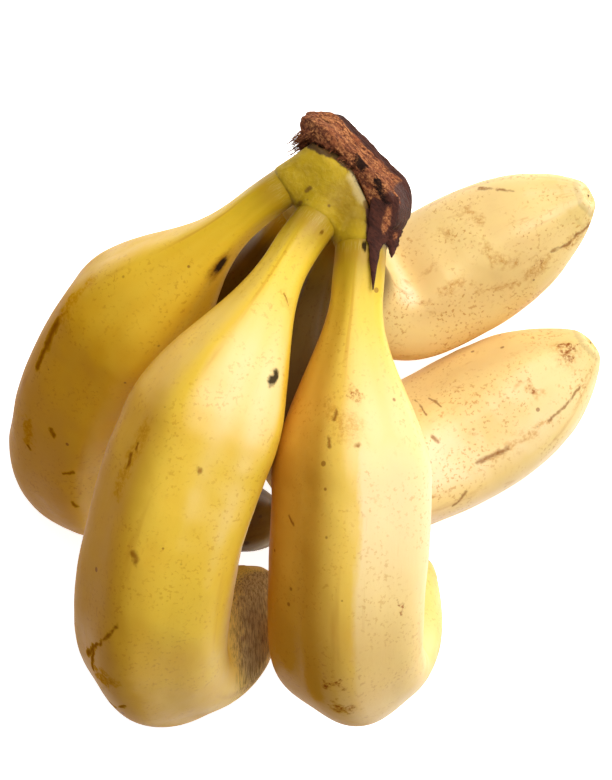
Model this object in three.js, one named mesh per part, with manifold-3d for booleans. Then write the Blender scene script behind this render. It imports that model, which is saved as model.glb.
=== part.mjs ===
// A hand of six ripe yellow bananas, lying on the undersides of its fruit: millimetres, +Z up.
// Three bananas arch over the front, three lie behind and below them, and all six grow from one
// fleshy crown that ends in a dried, torn cut. Every banana is a ridged tube swept along a smooth
// centreline; the crown is one rounded body with a lobe towards each stalk.
import * as THREE from "three";
import { mergeVertices } from "three/addons/utils/BufferGeometryUtils.js";
import Module from "manifold-3d";

const wasm = await Module();
wasm.setup();

// Driving dimensions shared by all bananas.
const TIP_RADIUS = 4.2; // the blunt blossom end
const TIP_TAPER = 42; // length over which the body closes towards the blossom end
const RIDGES = 5;
const RIDGE_RISE = 0.045; // height of a ridge over the mean radius, as a share of it
const RING_POINTS = 20;
const RING_SPACING = 6.5;
const HOLLOW_REACH = 0.75; // how near the hollow side of a bend may come to the bend's centre
const GAP = 0.3; // clearance between neighbouring solids

// Each banana: its greatest width (girth), its stalk's radius, the distances from the crown at which its
// stalk starts to swell (neck) and its body is full (shoulder), the angle of its first ridge from the
// outside of the bend (roll), and the guide points of its centreline from the crown to the blossom end.
const BANANAS = [
  {
    name: "banana_front_left",
    girth: 38.5,
    stalk: 5,
    neck: 12,
    shoulder: 62,
    roll: 10,
    guide: [
      [-5.5, 59, 90], [-12.5, 54.5, 89], [-25.5, 44, 83], [-47.5, 27, 62],
      [-62, 2.5, 41], [-65, -20.5, 10], [-55, -29, 4],
    ],
  },
  {
    name: "banana_front_middle",
    girth: 38.5,
    stalk: 5.7,
    neck: 12,
    shoulder: 60,
    roll: 10,
    guide: [
      [2, 50.5, 92], [-4.5, 41.5, 95], [-14, 22, 101], [-30, -9, 101],
      [-40, -48.5, 94], [-38.5, -69, 53], [-9, -41.5, 42],
    ],
  },
  {
    name: "banana_front_right",
    girth: 38.5,
    stalk: 6.4,
    neck: 12,
    shoulder: 57,
    roll: 10,
    guide: [
      [13, 44, 90], [12.5, 34.5, 93], [10, 16.5, 92], [12, -15.5, 91],
      [8.5, -50, 92], [10.5, -68.5, 55], [29.5, -35.5, 40],
    ],
  },
  {
    name: "banana_back_upper",
    girth: 39,
    stalk: 5.4,
    neck: 24,
    shoulder: 66,
    roll: 10,
    guide: [
      [18.5, 55.5, 75], [13.5, 45.5, 56], [8, 31.5, 27.5], [33, 36.5, 15.3],
      [59, 54, 20.5], [76.5, 62, 32.5],
    ],
  },
  {
    name: "banana_back_lower",
    girth: 41.3,
    stalk: 5.6,
    neck: 12,
    shoulder: 57,
    roll: 10,
    guide: [
      [9, 47, 73], [0.5, 31.5, 72], [1, 10, 66], [11, -21.5, 26],
      [54, 1, 15.6], [78, 22, 26],
    ],
  },
  {
    name: "banana_back_inner",
    girth: 35,
    stalk: 6,
    neck: 12,
    shoulder: 54,
    roll: 10,
    guide: [
      [-2, 54, 73], [-13, 45.5, 58], [-22, 22, 22], [-29, -10, 15.2],
      [-23, -29, 14], [-6.5, -27.5, 15.3],
    ],
  },
];

// The crown: the centre of its body, the size of its core, and how far its lobes reach over the stalks.
const CROWN = { centre: [8, 61, 83], core: 12.5, collar: 1.2, lobeSwell: 1.12, blend: 5 };

// The dried cut: its centre, the direction of its long axis in plan, the rise of its face from the
// horizontal, half lengths towards the left and the right end, half width and thickness. Past
// curlLeft and curlRight its ends curl back, and past thickStart it gets thicker towards both ends.
const CUT = {
  centre: [12.8, 68.5, 86.5],
  heading: -44.9,
  rise: 20,
  left: 14.8,
  right: 21.5,
  half: 11,
  thick: 3.2,
  curl: 0.07,
  curlLeft: -8,
  curlRight: 12,
  thickStart: 3,
  thickening: 0.38,
};

const YELLOW = 0xe3b83c;
const OLIVE = 0xa8963a;
const BROWN = 0x5c3628;

const radians = THREE.MathUtils.degToRad;
const clamp = THREE.MathUtils.clamp;
const smooth = (x) => THREE.MathUtils.smoothstep(x, 0, 1);

// A smooth curve that starts at the first guide point, ends at the last and is drawn towards the
// others: a clamped uniform cubic B-spline.
class GuidedCurve extends THREE.Curve {
  constructor(guide) {
    super();
    this.guide = guide.map((p) => new THREE.Vector3(...p));
    const spans = guide.length - 3;
    this.knots = [0, 0, 0, 0];
    for (let i = 1; i < spans; i++) this.knots.push(i / spans);
    this.knots.push(1, 1, 1, 1);
    this.arcLengthDivisions = 400;
  }

  basis(i, degree, t) {
    const k = this.knots;
    if (degree === 0) {
      const last = t >= 1 && k[i + 1] === 1 && k[i] < 1;
      return (t >= k[i] && t < k[i + 1]) || last ? 1 : 0;
    }
    const rise = k[i + degree] - k[i];
    const fall = k[i + degree + 1] - k[i + 1];
    const up = rise > 0 ? ((t - k[i]) / rise) * this.basis(i, degree - 1, t) : 0;
    const down = fall > 0 ? ((k[i + degree + 1] - t) / fall) * this.basis(i + 1, degree - 1, t) : 0;
    return up + down;
  }

  getPoint(t, target = new THREE.Vector3()) {
    target.set(0, 0, 0);
    this.guide.forEach((p, i) => target.addScaledVector(p, this.basis(i, 3, t)));
    return target;
  }
}

// Closed geometry through rings of points that run round the axis, closed by a fan at each end.
function loft(rings) {
  const n = rings[0].length;
  const positions = [];
  const index = [];
  const push = (p) => positions.push(p.x, p.y, p.z);
  rings.forEach((ring) => ring.forEach(push));
  const centreOf = (ring) => ring.reduce((sum, p) => sum.add(p), new THREE.Vector3()).divideScalar(n);
  push(centreOf(rings[0]));
  push(centreOf(rings[rings.length - 1]));
  const first = rings.length * n;
  const last = (rings.length - 1) * n;
  for (let i = 0; i < n; i++) {
    const j = (i + 1) % n;
    for (let r = 0; r < last; r += n) {
      index.push(r + i, r + j + n, r + j);
      index.push(r + i, r + i + n, r + j + n);
    }
    index.push(first, i, j);
    index.push(first + 1, last + j, last + i);
  }
  const geometry = new THREE.BufferGeometry();
  geometry.setAttribute("position", new THREE.Float32BufferAttribute(positions, 3));
  geometry.setIndex(index);
  return geometry;
}

// Solids for cutting, and back to drawable geometry.
function toSolid(geometry) {
  const bare = geometry.clone();
  bare.deleteAttribute("normal");
  bare.deleteAttribute("uv");
  const merged = mergeVertices(bare, 1e-4);
  const mesh = new wasm.Mesh({
    numProp: 3,
    vertProperties: new Float32Array(merged.attributes.position.array),
    triVerts: new Uint32Array(merged.index.array),
  });
  return new wasm.Manifold(mesh);
}

function toGeometry(solid) {
  const { vertProperties, triVerts } = solid.getMesh();
  const geometry = new THREE.BufferGeometry();
  geometry.setAttribute("position", new THREE.BufferAttribute(vertProperties, 3));
  geometry.setIndex(new THREE.BufferAttribute(triVerts, 1));
  geometry.computeVertexNormals();
  return geometry;
}

// Mean radius of a banana at a distance from the crown and from the blossom end.
function bananaRadius(fromCrown, fromTip, { girth, stalk, neck, shoulder }) {
  const swell = smooth((fromCrown - neck) / (shoulder - neck));
  const body = stalk + (girth / 2 - stalk) * swell;
  const open = clamp(fromTip / TIP_TAPER, 0, 1);
  const close = Math.pow(1 - Math.pow(1 - open, 2.2), 0.8);
  return TIP_RADIUS + (body - TIP_RADIUS) * close;
}

// Rings of a banana from distance `from` to distance `to` along its centreline, `grow` larger all round.
function bananaRings(banana, from, to, grow) {
  const curve = new GuidedCurve(banana.guide);
  const length = curve.getLength();
  const root = curve.getPointAt(0);
  const tip = curve.getPointAt(1);
  const bendPlane = curve.getPointAt(0.5).sub(root).cross(tip.sub(root)).normalize();
  const end = Math.min(to, length);
  const steps = Math.max(Math.round((end - from) / RING_SPACING), 1);
  const rings = [];
  for (let s = 0; s <= steps; s++) {
    const distance = from + ((end - from) * s) / steps;
    const u = clamp(distance / length, 0, 1);
    const tangent = curve.getTangentAt(u);
    const centre = curve.getPointAt(u).addScaledVector(tangent, Math.min(distance, 0));
    const side = bendPlane.clone().addScaledVector(tangent, -bendPlane.dot(tangent)).normalize();
    const outside = new THREE.Vector3().crossVectors(tangent, side);
    const before = curve.getTangentAt(clamp(u - 0.01, 0, 1));
    const bend = curve.getTangentAt(clamp(u + 0.01, 0, 1)).sub(before).divideScalar(0.02 * length);
    const radius = bananaRadius(distance, length - distance, banana) + grow;
    const ring = [];
    for (let i = 0; i < RING_POINTS; i++) {
      const angle = (2 * Math.PI * i) / RING_POINTS;
      const r = radius * (1 + RIDGE_RISE * Math.cos(RIDGES * (angle - radians(banana.roll))));
      const offset = outside.clone().multiplyScalar(r * Math.cos(angle));
      offset.addScaledVector(side, r * Math.sin(angle));
      // The hollow side of a bend is pinched, so that it stays short of the centre of the bend.
      const inward = offset.dot(bend);
      if (inward > 0) {
        const pinched = HOLLOW_REACH * Math.tanh(inward / HOLLOW_REACH);
        offset.addScaledVector(bend, (pinched - inward) / bend.lengthSq());
      }
      ring.push(offset.add(centre));
    }
    rings.push(ring);
  }
  return rings;
}

// A banana, flat where it lies on the surface below.
function bananaSolid(banana) {
  const body = toSolid(loft(bananaRings(banana, 0, Infinity, 0)));
  return body.trimByPlane([0, 0, 1], 0);
}

// The crown's lobes: one towards the stalk of each banana.
function crownLobes() {
  const centre = new THREE.Vector3(...CROWN.centre);
  return BANANAS.map((banana) => {
    const reach = new THREE.Vector3(...banana.guide[0]).sub(centre);
    const length = reach.length() + CROWN.collar;
    return { axis: reach.normalize(), length, radius: banana.stalk * CROWN.lobeSwell };
  });
}

// Distance of the crown's surface from its centre: its core and its lobes, softly merged. Each lobe
// is a cylinder with a rounded rim.
function crownReach(direction, lobes) {
  let sum = Math.pow(CROWN.core, CROWN.blend);
  for (const { axis, length, radius } of lobes) {
    const along = direction.dot(axis);
    if (along <= 0) continue;
    const across = Math.sqrt(Math.max(1 - along * along, 0));
    const edge = Math.pow(along / length, 8) + Math.pow(across / radius, 8);
    sum += Math.pow(edge, -CROWN.blend / 8);
  }
  return Math.pow(sum, 1 / CROWN.blend);
}

function crownBody() {
  const geometry = new THREE.SphereGeometry(1, 32, 20);
  const position = geometry.attributes.position;
  const lobes = crownLobes();
  const centre = new THREE.Vector3(...CROWN.centre);
  const point = new THREE.Vector3();
  for (let i = 0; i < position.count; i++) {
    point.fromBufferAttribute(position, i).normalize();
    point.multiplyScalar(crownReach(point, lobes)).add(centre);
    position.setXYZ(i, point.x, point.y, point.z);
  }
  return geometry;
}

// Unit directions of the dried cut: along its face, across it and out of it.
function cutAxes() {
  const along = new THREE.Vector3(Math.cos(radians(CUT.heading)), Math.sin(radians(CUT.heading)), 0);
  const normal = new THREE.Vector3(-along.y, along.x, 0).multiplyScalar(Math.cos(radians(CUT.rise)));
  normal.z = Math.sin(radians(CUT.rise));
  return { along, across: new THREE.Vector3().crossVectors(normal, along), normal };
}

// The dried cut: a thick plate that curls back at its right end, with a raised, uneven rim round a
// sunken middle. Each entry of the profile is a share of the outline and a height over the face.
const CUT_PROFILE = [
  [0.02, -1],
  [0.4, -0.8],
  [0.75, -0.2],
  [0.92, 0.6],
  [1, 0.1],
  [1.02, -1.4],
  [0.98, 1.4 - CUT.thick],
  [0.85, 0.4 - CUT.thick],
  [0.4, -CUT.thick],
  [0.02, -CUT.thick],
];

function cutRings(profile) {
  const { along, across, normal } = cutAxes();
  const sides = 32;
  return profile.map(([share, height]) => {
    const ring = [];
    for (let i = 0; i < sides; i++) {
      const angle = (2 * Math.PI * i) / sides;
      const half = Math.cos(angle) < 0 ? CUT.left : CUT.right;
      const oval = Math.pow(Math.cos(angle) / half, 4) + Math.pow(Math.sin(angle) / CUT.half, 4);
      const ragged = 1 + 0.035 * Math.sin(5 * angle + 1) + 0.025 * Math.sin(11 * angle + 2);
      const reach = share * Math.pow(oval, -1 / 4) * ragged;
      const a = reach * Math.cos(angle);
      const curled = Math.max(a - CUT.curlRight, CUT.curlLeft - a, 0);
      const deeper = height < -1.6 ? CUT.thickening * Math.max(Math.abs(a) - CUT.thickStart, 0) : 0;
      const rise = height - deeper - CUT.curl * curled * curled;
      const point = new THREE.Vector3(...CUT.centre).addScaledVector(along, a);
      ring.push(point.addScaledVector(across, reach * Math.sin(angle)).addScaledVector(normal, rise));
    }
    return ring;
  });
}

// All stalks, a little larger all round: room for them in the crown.
const stalkRoom = BANANAS.map((banana) => toSolid(loft(bananaRings(banana, -GAP, 12, GAP))));

function cutSolid() {
  return stalkRoom.reduce((plate, stalk) => plate.subtract(stalk), toSolid(loft(cutRings(CUT_PROFILE))));
}

// The crown, ending under the cut, with seats for the stalks.
function crownSolid() {
  const under = -CUT.thick - GAP;
  const sheet = [1.5, 1.2, 0.98, 0.85, 0.4, 0.02].map((share) => [share, under]);
  const above = toSolid(loft(cutRings([[0.02, 20], [1.5, 20], ...sheet])));
  return stalkRoom.reduce((crown, stalk) => crown.subtract(stalk), toSolid(crownBody()).subtract(above));
}

const hand = new THREE.Group();

function addPart(name, solid, color, roughness) {
  const material = new THREE.MeshStandardMaterial({ color, roughness, metalness: 0 });
  const mesh = new THREE.Mesh(toGeometry(solid), material);
  mesh.name = name;
  hand.add(mesh);
}

for (const banana of BANANAS) addPart(banana.name, bananaSolid(banana), YELLOW, 0.45);
addPart("crown", crownSolid(), OLIVE, 0.55);
addPart("crown_cut", cutSolid(), BROWN, 0.9);

export default hand;
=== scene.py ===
"""A hand of six ripe yellow bananas: ridged peel, fleshy crown, dried cut and a soft studio."""

import bpy
import numpy as np
from bpy.props import FloatProperty, FloatVectorProperty, PointerProperty
from bpy.types import Operator, Panel, PropertyGroup
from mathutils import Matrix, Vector


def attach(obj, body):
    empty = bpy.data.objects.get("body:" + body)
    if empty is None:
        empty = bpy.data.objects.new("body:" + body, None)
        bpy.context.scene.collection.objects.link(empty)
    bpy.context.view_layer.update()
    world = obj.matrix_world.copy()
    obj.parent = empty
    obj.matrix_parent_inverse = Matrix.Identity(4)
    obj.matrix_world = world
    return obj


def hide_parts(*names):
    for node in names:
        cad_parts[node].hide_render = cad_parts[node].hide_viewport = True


bl_info = {
    "name": "Banana Hand",
    "version": (1, 0, 0),
    "blender": (4, 5, 0),
    "location": "3D View > Sidebar > Banana Hand",
    "description": "Makes a hand of ripe bananas with its crown, dried cut and studio",
    "category": "Add Mesh",
}

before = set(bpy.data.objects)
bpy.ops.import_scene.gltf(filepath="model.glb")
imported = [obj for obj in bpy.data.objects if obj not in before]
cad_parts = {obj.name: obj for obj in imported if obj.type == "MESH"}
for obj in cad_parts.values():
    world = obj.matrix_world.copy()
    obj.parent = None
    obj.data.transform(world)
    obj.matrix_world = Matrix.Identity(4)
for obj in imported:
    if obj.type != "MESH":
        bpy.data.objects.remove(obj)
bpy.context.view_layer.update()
MM = 0.001

# Each banana, in millimetres and degrees, with the shapes of the solids: greatest width, stalk
# radius, distances from the crown at which the stalk starts to swell and the body is full, angle of
# the first ridge, and guide points of the centreline, which another program worked out from given
# places and heights. `ease` is the distance over which the hollow of a sharp bend is evened out.
# `age` is how mottled its skin is, `tone` how far it leans from yellow to orange, `pale` how far it
# is cream all over, a painted highlight for the brightly lit bananas, `highlight` how strong the
# painted cream highlight is on its side towards the key light, `facet` between which angles a whole
# facet gets that painted highlight, and `brown` how strong a painted dark brown shadow is up to
# `brown_to` from the crown, on the bananas that lie under the others.
ALIKE = dict(neck=12, roll=10, ease=0, pale=0, highlight=0, facet=None, brown=0, brown_to=40)
BANANAS = {
    "banana_front_left": dict(
        ALIKE, girth=38.5, stalk=5, shoulder=62, age=0.35, tone=0.5, highlight=0.55,
        guide=[[-5.5, 59, 90], [-12.5, 54.5, 89], [-25.5, 44, 83], [-47.5, 27, 62],
               [-62, 2.5, 41], [-65, -20.5, 10], [-55, -29, 4]],
    ),
    "banana_front_middle": dict(
        ALIKE, girth=38.5, stalk=5.7, shoulder=60, age=0.3, tone=0.3, pale=0.03, highlight=0.6,
        guide=[[2, 50.5, 92], [-4.5, 41.5, 95], [-14, 22, 101], [-30, -9, 101],
               [-40, -48.5, 94], [-38.5, -69, 53], [-9, -41.5, 42]],
    ),
    "banana_front_right": dict(
        ALIKE, girth=38.5, stalk=6.4, shoulder=57, age=0.3, tone=0.3, pale=0.12, highlight=0.55,
        facet=(22, 120),
        guide=[[13, 44, 90], [12.5, 34.5, 93], [10, 16.5, 92], [12, -15.5, 91],
               [8.5, -50, 92], [10.5, -68.5, 55], [29.5, -35.5, 40]],
    ),
    "banana_back_upper": dict(
        ALIKE, girth=39, stalk=5.4, neck=24, shoulder=66, ease=11, age=0.9, tone=0.1, pale=0.5,
        highlight=0.9, brown=0.8, brown_to=45,
        guide=[[18.5, 55.5, 75], [13.5, 45.5, 56], [8, 31.5, 27.5], [33, 36.5, 15.3],
               [59, 54, 20.5], [76.5, 62, 32.5]],
    ),
    "banana_back_lower": dict(
        ALIKE, girth=41.3, stalk=5.6, shoulder=57, age=0.8, tone=0.1, pale=0.5, highlight=0.9,
        brown=0.9, brown_to=62,
        guide=[[9, 47, 73], [0.5, 31.5, 72], [1, 10, 66], [11, -21.5, 26],
               [54, 1, 15.6], [78, 22, 26]],
    ),
    "banana_back_inner": dict(
        ALIKE, girth=35, stalk=6, shoulder=54, age=0.5, tone=0.8, brown=0.95, brown_to=200,
        guide=[[-2, 54, 73], [-13, 45.5, 58], [-22, 22, 22], [-29, -10, 15.2],
               [-23, -29, 14], [-6.5, -27.5, 15.3]],
    ),
}
BODY_RINGS, BODY_SIDES = 300, 176
ROOT_DEPTH = 6  # how far a stalk runs into the crown
RIDGES = 5
TIP_TAPER = 42  # length over which the body closes
HOLLOW_REACH = 0.75  # share of the bend's radius that the hollow side stays within

# The blunt blossom end: radius of its edge and, ring by ring over its face, the share of its radius
# and how deep it is hollowed.
TIP_EDGE = 1.1
TIP_FACE = np.array([0.62, 0.5, 0.36, 0.26, 0.18, 0.07])
TIP_HOLLOW = np.array([0.25, 0.5, 0.5, 0.1, -0.1, -0.2])

# The crown: centre and radius of its ball; how far the sleeve about a stalk's root reaches into it,
# for roots above the centre and below it; how far a sleeve reaches out along the stalk, how far it
# stands off the stalk, and the radius of its rim; how wide all these blend; and how deep the flesh
# reaches into the dried cut's back.
CROWN = dict(
    centre=(8, 61, 83), core=12.3, sleeve=13, low_sleeve=7, collar=0.6, spare=0.1, rim=1.5,
    soft=1.3, sunk=0.6,
)

# The dried cut, with the shape of the solid: centre, heading and rise of its face, its reach to the
# left, to the right and across, its thickness, how it curls back past `curl_left` and `curl_right`,
# and how it gets thicker past `thick_start`.
CUT = dict(
    centre=(12.8, 68.5, 86.5), heading=-44.9, rise=20, left=14.8, right=21.5, half=11, thick=3.2,
    curl=0.07, curl_left=-8, curl_right=12, thick_start=3, thickening=0.38,
)
TORN_END = 1.0  # how far its torn left end reaches past the solid's
TORN_SLANT = 0.95  # how far that end slants inwards, as a share of the depth behind the face

# Profile of the cut: ring number, share of the outline, and height over the flat face.
CUT_PROFILE = [
    (0, 0.02, -1), (40, 0.4, -0.8), (75, 0.75, -0.2), (100, 0.92, 0.6), (110, 1.0, 0.1),
    (122, 1.02, -1.4), (140, 0.98, -1.8), (152, 0.85, -2.8), (165, 0.4, -3.2), (175, 0.02, -3.2),
]
PROFILE_ROUNDING = 6

# Flaps of dried skin that hang from the cut: guide points of their left and right edges.
FLAPS = {
    "dried_tongue": (
        [[16, 56.5, 95], [14.6, 52, 95.6], [14.1, 47, 96.3], [14.6, 43.5, 97], [15, 39, 97.7],
         [15.5, 33.2, 97.9]],
        [[22, 56, 94.5], [21.5, 50, 94], [20.5, 46, 93.5], [17.4, 44, 95.6], [16.8, 40, 97],
         [15.8, 33.3, 97.8]],
    ),
    "dried_corner": (
        [[18, 48, 94.8], [18.6, 45.5, 94.5], [19.6, 43, 93.6], [20.1, 41.4, 92.8]],
        [[23, 48, 92.8], [22.4, 45.5, 92.4], [21.6, 43, 92.4], [20.4, 41.2, 92.6]],
    ),
}


# ---------------------------------------------------------------- shapes


def unit(vectors):
    """Vectors scaled to length one."""
    return vectors / np.linalg.norm(vectors, axis=-1, keepdims=True)


def smoothstep(x, low, high):
    """Zero below low and one above high, with an S-shaped rise between them."""
    t = np.clip((x - low) / (high - low), 0, 1)
    return t * t * (3 - 2 * t)


def hashed(cells, seed):
    """A repeatable random number from -1 to 1 for each whole-numbered cell: large primes times the
    three numbers and the seed, mixed bit by bit."""
    n = cells[..., 0] * 73856093 ^ cells[..., 1] * 19349663 ^ cells[..., 2] * 83492791
    n ^= seed * 2654435
    n = (n ^ (n >> 13)) * 1274126177 & 0xFFFFFFFF
    n = (n ^ (n >> 16)) * 668265263 & 0xFFFFFFFF
    return (n >> 8 & 0xFFFF) / 32767.5 - 1


def lumps(points, cell, seed, octaves=1):
    """Value noise: random values at the corners of a cubic lattice, blended smoothly between
    them. Each further octave halves the lattice and the height."""
    total = np.zeros(points.shape[:-1])
    for octave in range(octaves):
        p = points / cell * 2**octave
        base = np.floor(p).astype(np.int64)
        f = p - base
        f = f * f * (3 - 2 * f)
        for corner in np.ndindex(2, 2, 2):
            c = np.array(corner)
            weight = np.prod(np.where(c, f, 1 - f), axis=-1)
            total += weight * hashed(base + c, seed + octave) / 2**octave
    return total


def guided_curve(guide, t):
    """Clamped uniform cubic B-spline: each point is a blend of the guide points, with weights
    built up degree by degree from the spans between the knots."""
    guide = np.array(guide, float)
    n = len(guide)
    knots = np.concatenate([np.zeros(3), np.linspace(0, 1, n - 2), np.ones(3)])
    t = np.clip(t, 0, 1 - 1e-9)[:, None]
    weights = ((t >= knots[:-1]) & (t < knots[1:])).astype(float)
    for degree in range(1, 4):
        start, end = knots[: -1 - degree], knots[degree + 1 :]
        rise, fall = knots[degree:-1] - start, end - knots[1:-degree]
        up = np.divide(t - start, rise, out=np.zeros((len(t), len(rise))), where=rise > 0)
        down = np.divide(end - t, fall, out=np.zeros((len(t), len(fall))), where=fall > 0)
        weights = up * weights[:, :-1] + down * weights[:, 1:]
    return weights @ guide


def centreline(guide):
    """A banana's centreline: a function that gives its points, its bends and the two directions
    across it at distances from the crown, and its length, in millimetres. It goes on straight past
    both ends."""
    dense = guided_curve(guide, np.linspace(0, 1, 1601))
    steps = np.linalg.norm(np.diff(dense, axis=0), axis=1)
    reach = np.concatenate([[0], np.cumsum(steps)])
    length = reach[-1]
    slopes = unit(np.gradient(dense, reach, axis=0))

    def at(values, s):
        return np.stack([np.interp(s, reach, values[:, k]) for k in range(3)], axis=-1)

    root, middle, tip = at(dense, np.array([0, length / 2, length]))
    plane = unit(np.cross(middle - root, tip - root))

    def cross_section(s):
        tangent = unit(at(slopes, s))
        points = at(dense, s) + tangent * (np.minimum(s, 0) + np.maximum(s - length, 0))[:, None]
        ahead, behind = (unit(at(slopes, s + way * 0.01 * length)) for way in (1, -1))
        bend = (ahead - behind) / (0.02 * length)
        side = unit(plane - (tangent @ plane)[:, None] * tangent)
        return points, bend, side, np.cross(tangent, side)

    return cross_section, length


def body_radius(s, length, banana):
    """Mean radius: the stalk swells to the full body by a smooth step up to the shoulder, and the
    body closes by a power curve over the last stretch before the blossom end."""
    tip = bpy.context.scene.banana_hand.tip_radius / MM
    stalk = banana["stalk"]
    swelling = smoothstep(s, banana["neck"], banana["shoulder"])
    body = stalk + (banana["girth"] / 2 - stalk) * swelling
    opened = np.clip((length - s) / TIP_TAPER, 0, 1)
    return tip + (body - tip) * (1 - (1 - opened) ** 2.2) ** 0.8


def ridge_crest(banana, around):
    """One on the crests of the ridges and minus one between them: a cosine of the angle."""
    return np.cos(RIDGES * (around - np.radians(banana["roll"])))


def skin_points(banana, s, around, shrink, lift):
    """Points of a banana's skin at distances s from the crown and at angles around it, counted from
    the outside of the bend. The section is a circle with five low ridges, which fade in along the
    stalk, pushed out by `lift`. The hollow side of a bend is pinched by a tanh, so it stays short
    of the centre of the bend."""
    cross_section, length = centreline(banana["guide"])
    points, bend, side, outside = cross_section(s)
    crest = ridge_crest(banana, around) * smoothstep(s, 0, 10)[..., None]
    radius = (body_radius(s, length, banana) * shrink)[:, None] + lift
    radius = (radius * (1 + bpy.context.scene.banana_hand.ridge_rise * crest))[..., None]
    turn = np.stack([np.cos(around), np.sin(around)], axis=-1)[..., None]
    offset = radius * (turn[:, 0] * outside[:, None] + turn[:, 1] * side[:, None])
    inward = np.einsum("nmk,nk->nm", offset, bend)
    tight = np.maximum(np.einsum("nk,nk->n", bend, bend), 1e-9)[:, None]
    pinched = HOLLOW_REACH * np.tanh(inward / HOLLOW_REACH)
    pinch = np.where(inward > 0, (pinched - inward) / tight, 0)
    return points[:, None] + offset + pinch[..., None] * bend[:, None]


def eased(grid, s, share, spread=5):
    """The rings with sharp folds evened out lengthwise: where a Gaussian average of the rings over
    a distance `spread` lies well away from the skin, a share of the skin moves to it."""
    weights = np.exp(-(((s[:, None] - s) / spread) ** 2) / 2)
    weights /= weights.sum(axis=1, keepdims=True)
    moved = np.einsum("ij,jkl->ikl", weights, grid) - grid
    folded = smoothstep(np.linalg.norm(moved, axis=-1), 0.4, 1.2) * share
    folded = weights @ folded
    return grid + folded[..., None] * moved


def skin_coordinates(banana, s, around):
    """Places on the skin laid out on a straight cylinder of the banana's full width."""
    full = banana["girth"] / 2
    axes = np.broadcast_arrays(np.cos(around) * full, np.sin(around) * full, s)
    return np.stack(axes, axis=-1)


def new_piece(name, points, faces):
    """A smooth mesh from points in millimetres and arrays of faces, riding on the hand."""
    mesh = bpy.data.meshes.new(name)
    sizes = np.concatenate([np.full(len(f), f.shape[1]) for f in faces])
    corners = np.concatenate([f.ravel() for f in faces])
    mesh.vertices.add(len(points))
    mesh.vertices.foreach_set("co", (points * MM).astype(np.float32).ravel())
    mesh.loops.add(len(corners))
    mesh.loops.foreach_set("vertex_index", corners.astype(np.int32))
    mesh.polygons.add(len(sizes))
    mesh.polygons.foreach_set("loop_start", (np.cumsum(sizes) - sizes).astype(np.int32))
    mesh.update(calc_edges=True)
    if mesh.validate():
        raise ValueError(f"the mesh of {name} isn't whole")
    mesh.shade_smooth()
    piece = bpy.data.objects.new(name, mesh)
    bpy.context.scene.collection.objects.link(piece)
    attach(piece, "root")
    return piece


def tube_faces(rings, sides, offset=0):
    """Faces of a closed tube: a grid of quads round and along it, and a fan at each end, whose
    centres are the two points after the rings."""
    i = np.arange(sides)
    j = (i + 1) % sides
    ring = np.arange(rings - 1)[:, None] * sides
    a, b = ring + i, ring + j
    quads = np.stack([a, a + sides, b + sides, b], axis=-1).reshape(-1, 4)
    centre = np.full(sides, rings * sides)
    last = (rings - 1) * sides
    fans = np.concatenate([np.stack([centre, i, j], axis=-1),
                           np.stack([centre + 1, last + j, last + i], axis=-1)])
    return quads + offset, fans + offset


def tube_points(grid):
    """A tube's rings as one list of points, followed by the centres of its first and last ring."""
    return np.concatenate([grid.reshape(-1, 3), [grid[0].mean(axis=0), grid[-1].mean(axis=0)]])


def set_values(piece, name, values):
    """A number or a vector for each point of a tube, for its material to read. The two end centres
    take the mean of their rings."""
    kind, field = ("FLOAT", "value") if values.ndim == 2 else ("FLOAT_VECTOR", "vector")
    flat = values.reshape(-1) if values.ndim == 2 else values.reshape(-1, 3)
    ends = [values[0].mean(axis=0), values[-1].mean(axis=0)]
    layer = piece.data.attributes.new(name, kind, "POINT")
    layer.data.foreach_set(field, np.concatenate([flat, ends]).astype(np.float32).ravel())


def cut_axes():
    """Directions of the dried cut: along its face, across it and out of it."""
    heading, rise = np.radians(CUT["heading"]), np.radians(CUT["rise"])
    along = np.array([np.cos(heading), np.sin(heading), 0])
    normal = np.array([-along[1] * np.cos(rise), along[0] * np.cos(rise), np.sin(rise)])
    return along, np.cross(normal, along), normal


def on_cut(a, b, height):
    """Points at distances from the cut's centre along its face, across it and out of it."""
    offset = sum(x[..., None] * axis for x, axis in zip((a, b, height), cut_axes()))
    return np.array(CUT["centre"]) + offset


def cut_rim(angle):
    """Distance of the cut's rim from its centre: a superellipse of the fourth power, whose two ends
    reach differently far."""
    half = np.where(np.cos(angle) < 0, CUT["left"] + TORN_END, CUT["right"])
    return ((np.cos(angle) / half) ** 4 + (np.sin(angle) / CUT["half"]) ** 4) ** -0.25


def cut_sag(a, height):
    """How far the cut's plate drops behind its flat face at a distance along it: it curls back past
    both ends by a square law, and its back gets thicker towards them."""
    curled = np.maximum(np.maximum(a - CUT["curl_right"], CUT["curl_left"] - a), 0)
    deeper = CUT["thickening"] * np.maximum(np.abs(a) - CUT["thick_start"], 0)
    return CUT["curl"] * curled**2 + deeper * smoothstep(-height, 1.4, 1.8)


# ---------------------------------------------------------------- materials


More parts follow.
